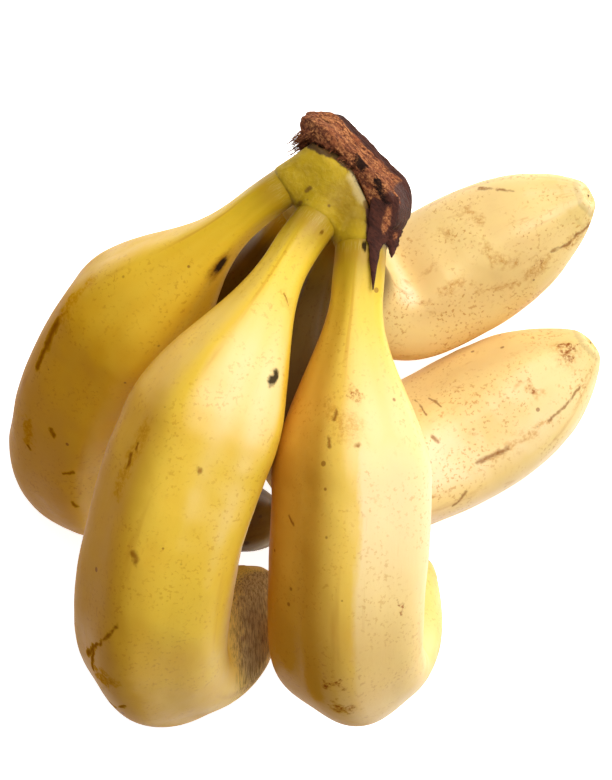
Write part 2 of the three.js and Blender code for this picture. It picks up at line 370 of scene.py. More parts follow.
class Nodes:
    """A short way to build a material's node tree. A value may be a number, a tuple or a socket."""

    def __init__(self, tree):
        self.tree = tree

    def add(self, kind, inputs=None, **settings):
        """A new node with its settings and inputs."""
        node = self.tree.nodes.new(kind)
        for key, value in settings.items():
            setattr(node, key, value)
        for key, value in (inputs or {}).items():
            self.put(node.inputs[key], value)
        return node

    def put(self, socket, value):
        """Links a socket to an input, or sets the input's own value."""
        if isinstance(value, bpy.types.NodeSocket):
            self.tree.links.new(value, socket)
        else:
            socket.default_value = (*value, 1) if socket.type == "RGBA" else value

    def math(self, operation, *values, clamp=False):
        inputs = dict(enumerate(values))
        return self.add("ShaderNodeMath", inputs, operation=operation, use_clamp=clamp).outputs[0]

    def plus(self, a, b):
        return self.math("ADD", a, b)

    def times(self, *values):
        """The product of two or more values."""
        product = values[0]
        for value in values[1:]:
            product = self.math("MULTIPLY", product, value)
        return product

    def times_plus(self, a, b, c):
        """a times b, plus c."""
        return self.math("MULTIPLY_ADD", a, b, c)

    def larger(self, a, b):
        return self.math("MAXIMUM", a, b)

    def uneven(self, value, noise, amount):
        """A value shifted by a noise, by half the amount at most either way."""
        return self.times_plus(self.math("SUBTRACT", noise, 0.5), amount, value)

    def vector(self, operation, a, b=(0, 0, 0), scale=None):
        """A vector, or for a product and a distance a number."""
        node = self.add("ShaderNodeVectorMath", {0: a, 1: b}, operation=operation)
        if scale is not None:
            self.put(node.inputs["Scale"], scale)
        return node.outputs["Value" if operation in ("DOT_PRODUCT", "DISTANCE") else 0]

    def step(self, value, low, high, to_low=0.0, to_high=1.0):
        """An S-shaped rise from to_low to to_high as value goes from low to high."""
        inputs = {"Value": value, "From Min": low, "From Max": high,
                  "To Min": to_low, "To Max": to_high}
        return self.add("ShaderNodeMapRange", inputs, interpolation_type="SMOOTHSTEP").outputs[0]

    def band(self, value, low, full, fading, gone):
        """One between full and fading, and zero below low and above gone."""
        return self.times(self.step(value, low, full), self.step(value, gone, fading))

    def noise(self, vector, scale, detail=3.0, rough=0.55, distortion=0.0):
        inputs = {"Vector": vector, "Scale": scale, "Detail": detail, "Roughness": rough,
                  "Distortion": distortion}
        return self.add("ShaderNodeTexNoise", inputs).outputs[0]

    def cells(self, vector, scale):
        """Random cells: the distance from a cell's centre, and the cell's three random numbers."""
        cells = self.add("ShaderNodeTexVoronoi", {"Vector": vector, "Scale": scale}).outputs
        chance = self.add("ShaderNodeSeparateColor", {0: cells["Color"]}).outputs
        return cells["Distance"], chance

    def mix(self, factor, a, b, blend="MIX"):
        inputs = {0: factor, 6: a, 7: b}
        return self.add("ShaderNodeMix", inputs, data_type="RGBA", blend_type=blend).outputs[2]

    def attribute(self, name, output="Fac"):
        return self.add("ShaderNodeAttribute", attribute_name=name).outputs[output]

    def stretched(self, vector, scale, turn=(0, 0, 0)):
        """Coordinates turned and then scaled, to draw a pattern out along a direction."""
        turned = self.add("ShaderNodeMapping", {"Vector": vector, "Rotation": turn}).outputs[0]
        return self.vector("MULTIPLY", turned, scale)

    def relief(self, shader, height, strength, distance):
        """Fine relief of the surface; the distance is in metres."""
        inputs = {"Height": height, "Strength": strength, "Distance": distance}
        self.put(shader.inputs["Normal"], self.add("ShaderNodeBump", inputs).outputs[0])


def surface(name, build):
    """A Principled material whose colour, roughness and relief come from build(nodes, shader)."""
    material = bpy.data.materials.new(name)
    material.use_nodes = True
    build(Nodes(material.node_tree), material.node_tree.nodes["Principled BSDF"])
    return material


def fleshy(shader, depths):
    """Lets a little light in under the skin, to depths in metres for red, green and blue."""
    shader.inputs["Subsurface Weight"].default_value = 0.1
    shader.inputs["Subsurface Radius"].default_value = depths
    shader.inputs["Subsurface Scale"].default_value = 1.0


def mark_group():
    """A node group that tells a point's distance from the line between two points, in radii."""
    group = bpy.data.node_groups.get("mark")
    if group:
        return group
    group = bpy.data.node_groups.new("mark", "ShaderNodeTree")
    for name, kind in (("Point", "Vector"), ("From", "Vector"), ("Way", "Vector"),
                       ("Radius", "Float")):
        group.interface.new_socket(name, in_out="INPUT", socket_type=f"NodeSocket{kind}")
    group.interface.new_socket("Reach", in_out="OUTPUT", socket_type="NodeSocketFloat")
    n = Nodes(group)
    given = n.add("NodeGroupInput").outputs
    offset = n.vector("SUBTRACT", given["Point"], given["From"])
    along = n.vector("DOT_PRODUCT", offset, given["Way"])
    square = n.vector("DOT_PRODUCT", given["Way"], given["Way"])
    share = n.math("DIVIDE", along, square, clamp=True)
    nearest = n.vector("SCALE", given["Way"], scale=share)
    reach = n.math("DIVIDE", n.vector("DISTANCE", offset, nearest), given["Radius"])
    n.add("NodeGroupOutput", {"Reach": reach})
    return group


SHORTEST_MARK = 0.2  # millimetres
FAR = 9.0  # in radii of a mark


def marks_cover(n, point, marks, noise, ragged, soft):
    """How much any of a list of marks covers a point. A mark is a start, an end and a radius. Its
    edge is made ragged by a noise and fades over a share `soft` of the radius both ways."""
    nearest = FAR
    for start, end, radius in marks:
        way = end - start
        if np.linalg.norm(way) < SHORTEST_MARK:
            way = np.array([0, 0, SHORTEST_MARK])
        inputs = {"Point": point, "From": tuple(start * MM), "Way": tuple(way * MM),
                  "Radius": radius * MM}
        node = n.add("ShaderNodeGroup", inputs, node_tree=mark_group())
        nearest = n.math("MINIMUM", node.outputs[0], nearest)
    return n.step(n.uneven(nearest, noise, ragged), 1 + soft, 1 - soft)


# Marks on the peel by kind, each as distance from the crown in millimetres and angle in degrees
# from the outside of the bend, of its start and of its end, and its radius in millimetres. Another
# program worked out most of the places from given spots, and they were then rounded or moved.
MARKS = {
    "banana_front_left": {
        "black": [(24, 102, 24.5, 110, 2.2)],
        "brown": [
            (24, 98, 25, 112, 3.4), (63, 12, 70, 16, 1.1), (70, 16, 76, 18, 0.7), (99, 70, 97, 78,
            0.4), (88, 51, 89, 54, 0.6), (98, 34, 98.5, 36, 0.5), (110, 80, 111, 82, 0.6),
        ],
        "stain": [(50, 5, 61, 14, 1.4), (91, 27, 97, 33, 1.2)],
    },
    "banana_front_middle": {
        "black": [(41.7, 69, 40.3, 71, 1.3)],
        "brown": [
            (86, 13, 87, 15, 0.7), (109, -12, 100, 10, 0.4), (109, -12, 115, -26, 0.7), (109, -12,
            117, -18, 0.6), (125, -9, 121, 14, 0.4), (69, -18, 71, -17, 0.6), (66, -14, 67, -14,
            0.5), (66, 37, 66, 38, 0.5), (22, 54, 24, 70, 0.3), (3.4, 60, 3.4, 64, 0.8),
        ],
        "stain": [
            (116, -9, 114, 6, 1.5), (62, -14, 76, -18, 1.5), (22, 50, 24, 78, 1.2), (28, -8, 26,
            -20, 0.6),
        ],
        "scuff": [(172, 165, 150, 100, 9)],
    },
    "banana_front_right": {
        "bruise": [
            (35, 16, 37, 28, 0.75), (96, 2, 96, 10, 0.8), (102, 4, 103, 18, 1.1), (83, 62, 82, 60,
            0.6),
        ],
        "brown": [
            (40, 5, 42, 3, 0.5), (46, 1, 48, 1, 0.5), (48, 22, 48, 23, 0.55), (66, -35, 68, -30,
            0.4),
        ],
        "stain": [(39, -2, 45, 12, 1.8), (39, -2, 44, 24, 1.4), (61, 35, 61, 37, 0.9)],
        "black": [(1.6, 24, 1.9, 28, 1.1)],
        # Orange streaks in the shade colour along the left facet: painted shade.
        "shade_streak": [(45, -12, 100, -10, 2.2), (50, -38, 95, -38, 3.5)],
    },
    "banana_back_upper": {
        "stain": [
            (123, 81, 116, 103, 1.5), (108, 112, 102, 112, 2), (98, 114, 85, 130, 0.8), (96, -160,
            98, -178, 1.2), (84, -166, 86, -178, 1.5), (96, 162, 95, 147, 1.2), (97, 144, 101,
            136, 1.6), (81, 147, 72, 148, 1.2),
        ],
        "brown": [
            (123, 76, 119, 100, 0.8), (117, 101, 112, 115, 0.6), (101, -140, 110, -156, 0.5),
        ],
        "bruise": [(107, 115, 104, 119, 0.6)],
    },
    "banana_back_lower": {
        "bruise": [
            (149, 146, 149, 148, 1.6), (149, 160, 151, 150, 0.8), (147, 141, 149, 129, 0.8), (135,
            130, 135, 131, 0.9),
        ],
        "stain": [
            (149, 158, 149, 130, 2.8), (134, 134, 136, 123, 1.1), (112, 104, 133, 99, 1.1), (145,
            93, 150, 87, 0.9),
        ],
        "brown": [
            (106, 105, 117, 103, 0.6), (133, 99, 145, 93, 0.5), (96, 178, 95, 160, 0.45), (101,
            171, 103, 159, 0.4), (95, 79, 99, 87, 0.5), (92, 141, 94, 136, 0.6),
        ],
    },
    "banana_back_inner": {},
}


def placed(name, kind):
    """Starts, ends and radii, in skin coordinates, of a banana's marks of one kind."""
    found = []
    for s0, angle0, s1, angle1, radius in MARKS[name].get(kind, []):
        ends = [skin_coordinates(BANANAS[name], np.array(float(s)), np.radians(angle))
                for s, angle in ((s0, angle0), (s1, angle1))]
        found.append((*ends, radius))
    return found


# Directions that the sides of the fruit with the painted highlight and with the painted shade face.
SUNNY_SIDE = (0.5, 0.35, 0.79)
SHADY_SIDE = (-0.8, -0.45, -0.4)


def peel_material(name, banana):
    """Ripe peel: yellow clouds with a painted cream highlight towards the key light and painted
    orange-brown shade away from it, a painted dark brown shadow near the crown on the bananas that
    lie under the others, an olive root and a dry end, tan mottling, freckles, fine scratches
    lengthwise and the banana's own marks. Distances along the banana are in metres."""
    look = bpy.context.scene.banana_peel
    age, pale, tone = banana["age"], banana["pale"], banana["tone"]

    def build(n, shader):
        point = n.add("ShaderNodeTexCoord").outputs["Object"]
        normal = n.add("ShaderNodeNewGeometry").outputs["Normal"]
        skin = n.attribute("skin", "Vector")
        along = n.attribute("along")
        from_tip = n.attribute("from_tip")

        def drawn(share, *settings):
            """A noise drawn out lengthwise."""
            return n.noise(n.stretched(skin, (1, 1, share)), *settings)

        clouds = n.noise(point, 48, 4, 0.6)
        bands = drawn(0.08, 75, 2, 0.5)
        blotches = drawn(0.45, 150, 6, 0.68)
        fine = n.noise(point, 1000, 3, 0.6)

        # Yellow clouds, lighter where the skin faces the key light, which is painted light. Painted
        # cream highlight: all over the paler bananas, on the side towards the light, and on a given
        # facet.
        facing = n.vector("DOT_PRODUCT", normal, SUNNY_SIDE)
        depth = n.times_plus(facing, 0.35, n.times(n.plus(clouds, bands), 0.5))
        colour = n.mix(n.step(depth, 0.55, 0.85), look.deep, look.ripe)
        colour = n.mix(pale, colour, look.cream)
        painted_highlight = n.times(
            n.step(n.uneven(facing, bands, 0.5), 0.76, 1.06),
            n.step(along, 0.012, 0.045, 0.0, banana["highlight"]),
            n.step(along, 0.145, 0.115, 0.3, 1.0),
        )
        if banana["facet"]:
            low, high = np.radians(banana["facet"])
            around = n.uneven(n.attribute("around"), blotches, 0.25)
            facet = n.times(
                n.band(around, low - 0.05, low + 0.09, high - 0.5, high),
                n.step(along, 0.025, 0.06, 0.0, 0.7),
                n.step(along, 0.1, 0.065, 0.3, 1.0),
            )
            painted_highlight = n.larger(painted_highlight, facet)
        colour = n.mix(painted_highlight, colour, look.cream)
        # Painted orange-brown shade on the side away from the key light, warm yellow at the neck,
        # and a painted dark brown shadow near the crown on the bananas that lie under the others.
        facing = n.vector("DOT_PRODUCT", normal, SHADY_SIDE)
        shady = n.times(n.step(n.uneven(facing, clouds, 0.5), -0.25, 0.6), 0.85 - 0.9 * pale)
        colour = n.mix(shady, colour, look.flank_shade)
        neck = n.step(n.times_plus(clouds, 0.02, along), 0.05, 0.014)
        colour = n.mix(n.times(neck, 0.75), colour, look.neck)
        # Painted shadow: dark brown up to a distance from the crown, where the banana lies under
        # the others.
        reach = banana["brown_to"] * MM
        painted_shadow = n.times(n.step(along, reach, 0.75 * reach), banana["brown"])
        colour = n.mix(painted_shadow, colour, look.painted_shadow)
        # Tan clouds, thickest on the older skins.
        mottled = n.step(blotches, 0.66 - 0.1 * age, 0.8 - 0.08 * age)
        mottled = n.times(mottled, 0.2 + 0.5 * age)
        # Brown rubbed along the crests of the ridges.
        rubbed = n.step(drawn(0.3, 95, 4, 0.6), 0.5, 0.68)
        rubbed = n.times(n.step(n.attribute("crest"), 0.93, 1.0), rubbed, 0.25 + 0.4 * age)
        # Fine speckles in patches, thickest on the older skins.
        patches = n.step(n.noise(point, 85, 3, 0.6), 0.4, 0.6)
        grain = n.times(n.step(fine, 0.56, 0.64), patches, 0.2 + 0.6 * age)
        for wear in (mottled, rubbed, grain):
            colour = n.mix(wear, colour, look.tan, "MULTIPLY")
        # Freckles: a few small dots, each with its own size and strength.
        distance, chance = n.cells(point, 240)
        size = n.times_plus(chance[1], 0.14, 0.04)
        dot = n.step(n.math("SUBTRACT", size, distance), -0.02, 0.05)
        shy = n.step(chance[0], 0.88 - 0.12 * age, 0.92 - 0.12 * age)
        freckles = n.times(dot, shy, 0.7)
        colour = n.mix(freckles, colour, look.freckle, "MULTIPLY")
        # Fine scratches lengthwise, in patches.
        scratches = n.step(drawn(0.05, 1300, 2, 0.5), 0.66, 0.74)
        patches = n.step(n.noise(point, 60, 2, 0.5), 0.52, 0.7)
        colour = n.mix(n.times(scratches, patches, 0.25), colour, look.tan, "MULTIPLY")
        # The blossom end: olive towards it, then a thin dark rim, a drab face and a dark nub.
        end = n.uneven(from_tip, blotches, 0.008)
        colour = n.mix(n.step(end, 0.009, -0.0005, 0.0, 0.35), colour, look.olive)
        rim = n.math("ABSOLUTE", n.uneven(from_tip, blotches, 0.0022))
        rim = n.times(n.step(rim, 0.0006, 0.0), n.step(clouds, 0.4, 0.6, 0.05, 0.25))
        nub = n.step(from_tip, -0.003, -0.0036, 0.0, 0.8)
        dry = n.larger(rim, nub)
        colour = n.mix(dry, colour, look.bark)
        # Where the stalk leaves the crown its skin is the crown's, with a thin brown band and pale
        # fibres.
        root = n.uneven(along, blotches, 0.004)
        colour = n.mix(n.step(root, 0.015, 0.001), colour, look.root)
        ring = n.band(root, 0.0016, 0.003, 0.004, 0.0065)
        colour = n.mix(n.times(ring, n.step(clouds, 0.35, 0.6, 0.1, 0.4)), colour, look.joint)
        ring = n.band(root, 0.0002, 0.001, 0.002, 0.0042)
        fibres = n.step(drawn(0.4, 1300, 3, 0.6), 0.46, 0.64, 0.0, 0.14)
        colour = n.mix(n.times(ring, fibres), colour, look.fibre)

        # The banana's own marks, whose places are shifted a little or widely, and orange streaks of
        # painted shade.
        wander = n.add("ShaderNodeTexNoise", {"Vector": point, "Scale": 420.0, "Detail": 4.0})
        shift = n.vector("SUBTRACT", wander.outputs["Color"], (0.5, 0.5, 0.5))
        close = n.vector("ADD", skin, n.vector("SCALE", shift, scale=0.0022))
        loose = n.vector("ADD", skin, n.vector("SCALE", shift, scale=0.0075))
        speckled = n.step(n.noise(point, 1100, 4, 0.7), 0.38, 0.6, 0.15, 1.0)
        dull = 0.0
        for kind, place, tint, strength, soft, ragged, speckle, blend in (
            # Orange streaks in the shade colour are painted shade.
            ("shade_streak", close, look.flank_shade, 0.25, 0.9, 1.6, 1.0, "MIX"),
            ("stain", loose, look.tan, 0.4 + 0.4 * age, 1.1, 1.44, speckled, "MULTIPLY"),
            ("bruise", loose, look.bruise, 0.9, 0.9, 1.44, speckled, "MULTIPLY"),
            ("brown", close, look.freckle, 0.75, 0.8, 1.28, 1.0, "MULTIPLY"),
            ("black", close, look.black, 0.95, 0.45, 0.8, 1.0, "MIX"),
        ):
            marks = placed(name, kind)
            if marks:
                cover = marks_cover(n, place, marks, fine, ragged, soft)
                cover = n.times(cover, strength, speckle)
                colour = n.mix(cover, colour, tint, blend)
                dull = n.larger(dull, cover)
        scuffs = placed(name, "scuff")
        if scuffs:
            # A large dull patch, grey-brown and finely streaked, that fades into the yellow.
            streaks = n.noise(n.stretched(point, (1, 0.09, 0.4)), 2600, 5, 0.75)
            cover = marks_cover(n, skin, scuffs, streaks, 2.4, 0.6)
            worn = n.mix(n.step(streaks, 0.36, 0.62), look.scuff, look.scratch)
            colour = n.mix(n.times(cover, 0.85), colour, worn)
            dull = n.larger(dull, cover)
        warmth = {"Color": colour, "Hue": 0.5 - 0.006 * tone, "Saturation": 1 + 0.03 * tone}
        colour = n.add("ShaderNodeHueSaturation", warmth).outputs[0]
        n.put(shader.inputs["Base Color"], colour)
        rough = n.step(n.noise(point, 130, 3, 0.6), 0.25, 0.75, 0.38, 0.5)
        rough = n.times_plus(n.plus(mottled, dry), 0.2, rough)
        n.put(shader.inputs["Roughness"], n.times_plus(dull, 0.4, rough))
        gloss = n.step(shady, 0.0, 0.4, 0.38, 0.05)
        gloss = n.math("MULTIPLY_ADD", dull, -0.35, gloss, clamp=True)
        n.put(shader.inputs["Specular IOR Level"], gloss)
        height = n.times(drawn(0.12, 420, 4, 0.65), 0.5)
        for part, share in ((fine, 0.25), (clouds, 3.0), (freckles, -0.5)):
            height = n.times_plus(part, share, height)
        n.relief(shader, height, look.relief, 0.0006)
        fleshy(shader, (0.005, 0.0025, 0.0006))
        shader.inputs["IOR"].default_value = 1.42

    return surface(f"peel_{name}", build)


# Marks on the crown by kind, each as start, end and radius in millimetres. Heights count little
# between them, by the last of the shares in LEVEL. The brown marks start at places that another
# program worked out.
LEVEL = (1, 1, 0.3)
CROWN_MARKS = {
    # Painted shade where two stalks meet below the cut.
    "fold_shade": [((9, 55, 95), (11, 51.5, 95), 2.8)],
    "torn": [((17.5, 56, 94), (17.5, 44, 95), 3.4)],
    "cream": [((11.4, 60.2, 95), (13.4, 56, 93.5), 1.6)],
    "brown": [
        ((0.5, 58, 95.4), (-0.4, 57.3, 95.4), 0.5), ((-1.9, 54.7, 95.5), (-2.5, 54, 95), 0.6),
        ((14.1, 53.7, 94.4), (14, 54.5, 94.4), 0.6), ((5.1, 53.6, 97.2), (5.1, 53.6, 97.2), 0.4),
        ((7.7, 46.5, 95.7), (8, 45, 95), 0.5),
    ],
}


def crown_material():
    """Fleshy crown: olive-yellow skin with brown specks, fine lines round it, torn brown edges
    below the cut, dried skin that hangs over its right side, a bare cream patch, and painted shade
    where two stalks meet below the cut."""
    look = bpy.context.scene.banana_crown

    def build(n, shader):
        point = n.add("ShaderNodeTexCoord").outputs["Object"]
        clouds = n.noise(point, 110, 4, 0.6)
        lines = n.noise(n.stretched(point, (1, 1, 0.25), (0.35, 0.2, 0.75)), 700, 4, 0.65)
        colour = n.mix(n.step(clouds, 0.3, 0.7), look.shade, look.flesh)
        colour = n.mix(n.step(lines, 0.45, 0.7, 0.0, 0.35), colour, look.light)
        distance, chance = n.cells(point, 420)
        specks = n.times(n.step(distance, 0.2, 0.1), n.step(chance[0], 0.82, 0.88), 0.5)
        colour = n.mix(specks, colour, look.speck)
        edge = n.uneven(n.attribute("below_cut"), clouds, 0.003)
        edge = n.uneven(edge, lines, 0.0012)
        colour = n.mix(n.step(edge, 0.0012, 0.0005, 0.0, 0.9), colour, look.rind_dark)
        patches = n.noise(point, 420, 4, 0.65)
        levelled = n.vector("MULTIPLY", point, LEVEL)
        for kind, tint, strength, soft, ragged in (
            # Painted shade where two stalks meet below the cut.
            ("fold_shade", look.speck, 0.3, 0.95, 1.6),
            ("torn", look.rind, 0.97, 0.08, 0.4),
            ("cream", look.bare, 0.6, 0.6, 1.6),
            ("brown", look.speck, 0.8, 0.5, 1.6),
        ):
            marks = [(np.multiply(start, LEVEL), np.multiply(end, LEVEL), radius)
                     for start, end, radius in CROWN_MARKS[kind]]
            cover = marks_cover(n, levelled, marks, patches, ragged, soft)
            colour = n.mix(n.times(cover, strength), colour, tint)
        n.put(shader.inputs["Base Color"], colour)
        n.put(shader.inputs["Roughness"], n.step(clouds, 0.2, 0.8, 0.45, 0.62))
        height = n.times_plus(n.noise(point, 1500, 3, 0.6), 0.3, lines)
        n.relief(shader, height, 0.45, 0.0005)
        shader.inputs["Specular IOR Level"].default_value = 0.15
        fleshy(shader, (0.005, 0.003, 0.0008))

    return surface("crown_flesh", build)


# Nearly black painted shade in the pits and creases of the dried cut, in millimetres: start, end
# and radius.
CUT_CREASES = [
    ((12.4, 66.2, 94.5), (12.9, 63.4, 96.6), 1.4), ((16.6, 59.5, 96.4), (18.8, 54.6, 95.5), 0.9),
    ((4, 73.5, 95), (8, 70.5, 96.5), 0.4),
]


def dried_material():
    """Dried cut: grainy tan and red-brown fibre on its face, with nearly black painted shade in its
    creases and low places, inside a smooth purple-brown rind."""
    look = bpy.context.scene.banana_crown

    def build(n, shader):
        point = n.add("ShaderNodeTexCoord").outputs["Object"]
        turn = (0.0, 0.0, -float(np.radians(CUT["heading"])))
        strands = n.noise(n.stretched(point, (0.3, 1, 1), turn), 1000, 5, 0.7, 0.4)
        clumps = n.noise(point, 260, 4, 0.65)
        grain = n.times(n.plus(strands, n.noise(point, 1700, 4, 0.7)), 0.5)
        colour = n.mix(n.step(grain, 0.38, 0.6), look.dry_dark, look.dry)
        frayed = n.times(n.step(grain, 0.46, 0.6), n.step(clumps, 0.4, 0.58), 0.85)
        colour = n.mix(frayed, colour, look.frayed)
        hide = n.mix(n.step(strands, 0.35, 0.65), look.rind_dark, look.rind)
        rind = n.step(n.uneven(n.attribute("rind"), clumps, 0.9), 0.3, 0.7)
        colour = n.mix(rind, colour, hide)
        # Painted shade: near black where the relief is low, and in the listed pits and creases.
        deep = n.step(n.attribute("relief"), -0.1, -0.9, 0.0, 0.9)
        colour = n.mix(deep, colour, look.crease_shade)
        creases = [(np.array(start), np.array(end), radius) for start, end, radius in CUT_CREASES]
        cover = marks_cover(n, point, creases, grain, 2.5, 0.35)
        colour = n.mix(n.times(cover, 0.95), colour, look.crease_shade)
        n.put(shader.inputs["Base Color"], colour)
        n.put(shader.inputs["Roughness"], n.step(rind, 0.0, 1.0, 0.95, 0.62))
        n.relief(shader, n.times_plus(clumps, 0.6, grain), 0.8, 0.0009)
        shader.inputs["Specular IOR Level"].default_value = 0.1

    return surface("dried_cut", build)


# ---------------------------------------------------------------- settings


def colour(name, description, default):
    """A colour that a user can change."""
    return FloatVectorProperty(
        name=name, description=description, default=default, subtype="COLOR", min=0, max=1
    )


class HandSizes(PropertyGroup):
    """Sizes shared by all bananas."""

    tip_radius: FloatProperty(
        name="Blossom end", description="Radius of the blunt blossom end", default=0.0042,
        unit="LENGTH",
    )
    ridge_rise: FloatProperty(
        name="Ridge rise", description="Height of a ridge as a share of the radius", default=0.045,
        subtype="FACTOR",
    )
    dents: FloatProperty(
        name="Dents", description="Height of the soft unevenness of the skin", default=0.0003,
        unit="LENGTH",
    )


class PeelLook(PropertyGroup):
    """Colours of the peel."""

    ripe: colour("Ripe", "Light ripe yellow", (0.80, 0.53, 0.045))
    deep: colour("Deep", "Deeper, warmer yellow", (0.74, 0.42, 0.02))
    # Cream serves only as painted highlight: all over the paler bananas and on the lit side.
    cream: colour("Cream", "Bleached skin", (0.88, 0.71, 0.44))
    # Painted shade: the orange-brown laid on the side away from the key light and in the shade
    # streaks.
    flank_shade: colour("Flank", "Orange-brown skin of the shady side", (0.47, 0.20, 0.012))
    neck: colour("Neck", "Warm yellow of the neck", (0.80, 0.56, 0.035))
    root: colour("Root", "Olive-yellow where the stalk meets the crown", (0.40, 0.25, 0.009))
    # Painted shadow: the dark brown laid near the crown on the bananas that lie under the others.
    painted_shadow: colour("Browned", "Skin that has browned in the shade", (0.085, 0.04, 0.006))
    tan: colour("Tan", "Darkening by mottles, stains and rubbed ridges", (0.66, 0.42, 0.22))
    freckle: colour("Freckle", "Darkening by small brown dots and lines", (0.30, 0.14, 0.08))
    bruise: colour("Bruise", "Darkening by red-brown bruises", (0.40, 0.13, 0.07))
    black: colour("Black", "Black spots", (0.02, 0.011, 0.006))
    olive: colour("Olive", "Skin near the blossom end", (0.50, 0.36, 0.06))
    bark: colour("Dry rim", "Dried rim of the blossom end", (0.09, 0.055, 0.02))
    joint: colour("Joint", "Orange-brown band at the stalk's joint", (0.44, 0.20, 0.03))
    scuff: colour("Scuff", "Dull grey-brown of a scuffed patch", (0.16, 0.10, 0.055))
    scratch: colour("Scratch", "Paler streaks of a scuffed patch", (0.52, 0.38, 0.20))
    fibre: colour("Fibre", "Pale fibres at the stalk's joint", (0.74, 0.60, 0.24))
    relief: FloatProperty(
        name="Relief", description="Strength of the fine skin relief", default=0.14,
        subtype="FACTOR",
    )


class CrownLook(PropertyGroup):
    """Colours of the crown and of its dried cut."""

    flesh: colour("Flesh", "Olive-yellow skin", (0.47, 0.31, 0.009))
    shade: colour("Shade", "Deeper olive skin", (0.32, 0.195, 0.005))
    light: colour("Lines", "Pale lines along the skin", (0.54, 0.38, 0.05))
    bare: colour("Bare", "Cream flesh where the skin is torn", (0.66, 0.52, 0.25))
    speck: colour("Speck", "Brown specks and dry edges", (0.16, 0.075, 0.007))
    dry: colour("Dry", "Red-brown dried fibre", (0.32, 0.10, 0.04))
    dry_dark: colour("Dark", "Dark dried fibre", (0.09, 0.03, 0.018))
    frayed: colour("Frayed", "Tan frayed fibre", (0.60, 0.26, 0.095))
    rind: colour("Rind", "Purple-brown rind", (0.085, 0.026, 0.016))
    rind_dark: colour("Dark rind", "Darker rind", (0.04, 0.014, 0.01))
    # Painted shade: the near black laid in the low places and creases of the cut.
    crease_shade: colour("Crease", "Creases of the cut", (0.012, 0.006, 0.005))


class StudioLook(PropertyGroup):
    """The studio."""

    key: FloatProperty(
        name="Key light", description="Power of the key light", default=14, unit="POWER",
    )
    top: FloatProperty(
        name="Top light", description="Power of the top light", default=4.5, unit="POWER",
    )
    glow: FloatProperty(
        name="Floor glow", description="Light given off by the floor", default=0.85, min=0,
    )
    sky: FloatProperty(
        name="Room light", description="Strength of the light all round", default=0.1, min=0,
    )


# ---------------------------------------------------------------- pieces


class HAND_OT_bananas(Operator):
    """Sweep the skin of each banana along its centreline, with ridges and a blunt dry end"""

    bl_idname = "hand.bananas"
    bl_label = "Bananas"

    def execute(self, context):
        for number, (name, banana) in enumerate(BANANAS.items()):
            self.make(context, name, banana, 100 + 7 * number)
        return {"FINISHED"}

    def make(self, context, name, banana, seed):
        """A tube of rings: evenly spaced along the body, then round the edge of the blunt end, then
        over its slightly hollow face with a small nub in the middle. It lies just inside the
        solid."""
        sizes = context.scene.banana_hand
        length = centreline(banana["guide"])[1]
        tip = sizes.tip_radius / MM
        body = np.linspace(-ROOT_DEPTH, length - TIP_EDGE, BODY_RINGS)
        turn = np.radians(np.linspace(15, 90, 6))
        edge = length - TIP_EDGE + TIP_EDGE * np.sin(turn)
        s = np.concatenate([body, edge, length - TIP_HOLLOW])
        edge = 1 - (1 - np.cos(turn)) * TIP_EDGE / tip
        shrink = np.concatenate([np.ones(len(body)), edge, TIP_FACE])
        around = np.linspace(0, 2 * np.pi, BODY_SIDES, endpoint=False)
        skin = skin_coordinates(banana, s[:, None], around)
        slender = smoothstep(s, 20, 55)[:, None]
        dents = lumps(skin, 14, seed, 3) * sizes.dents / MM * (0.35 + 0.65 * slender)
        dents = np.where((s < length - 4)[:, None], dents, 0)
        # The stalk's root dives into the crown's sleeve.
        dive = smoothstep(s, -2, -5)
        inset = 0.12 + 0.45 * smoothstep(s, length - 20, length - 6)
        grid = skin_points(banana, s, around, shrink, dents - (dive + inset)[:, None])
        share = (smoothstep(s, 6, 14) * smoothstep(s, length - 30, length - 38))[:, None]
        grid = eased(grid, s, share)
        if banana["ease"]:
            inside = smoothstep(-np.cos(around), -0.3, 0.6)
            grid = eased(grid, s, share * inside, banana["ease"])
        # Rests on the surface below with a small flat.
        grid[..., 2] = np.maximum(grid[..., 2], 0)
        faces = tube_faces(len(s), len(around))
        piece = new_piece(f"peel_{name}", tube_points(grid), faces)
        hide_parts(name)
        from_tip = np.where(shrink < 1, (shrink - 1) * tip, length - TIP_EDGE - s)
        set_values(piece, "skin", skin * MM)
        for value_name, value in (
            ("along", s[:, None] * MM),
            ("from_tip", from_tip[:, None] * MM),
            ("crest", ridge_crest(banana, around)),
            ("around", (around + np.pi) % (2 * np.pi) - np.pi),
        ):
            set_values(piece, value_name, np.broadcast_to(value, grid.shape[:2]))
        piece.data.materials.append(peel_material(name, banana))


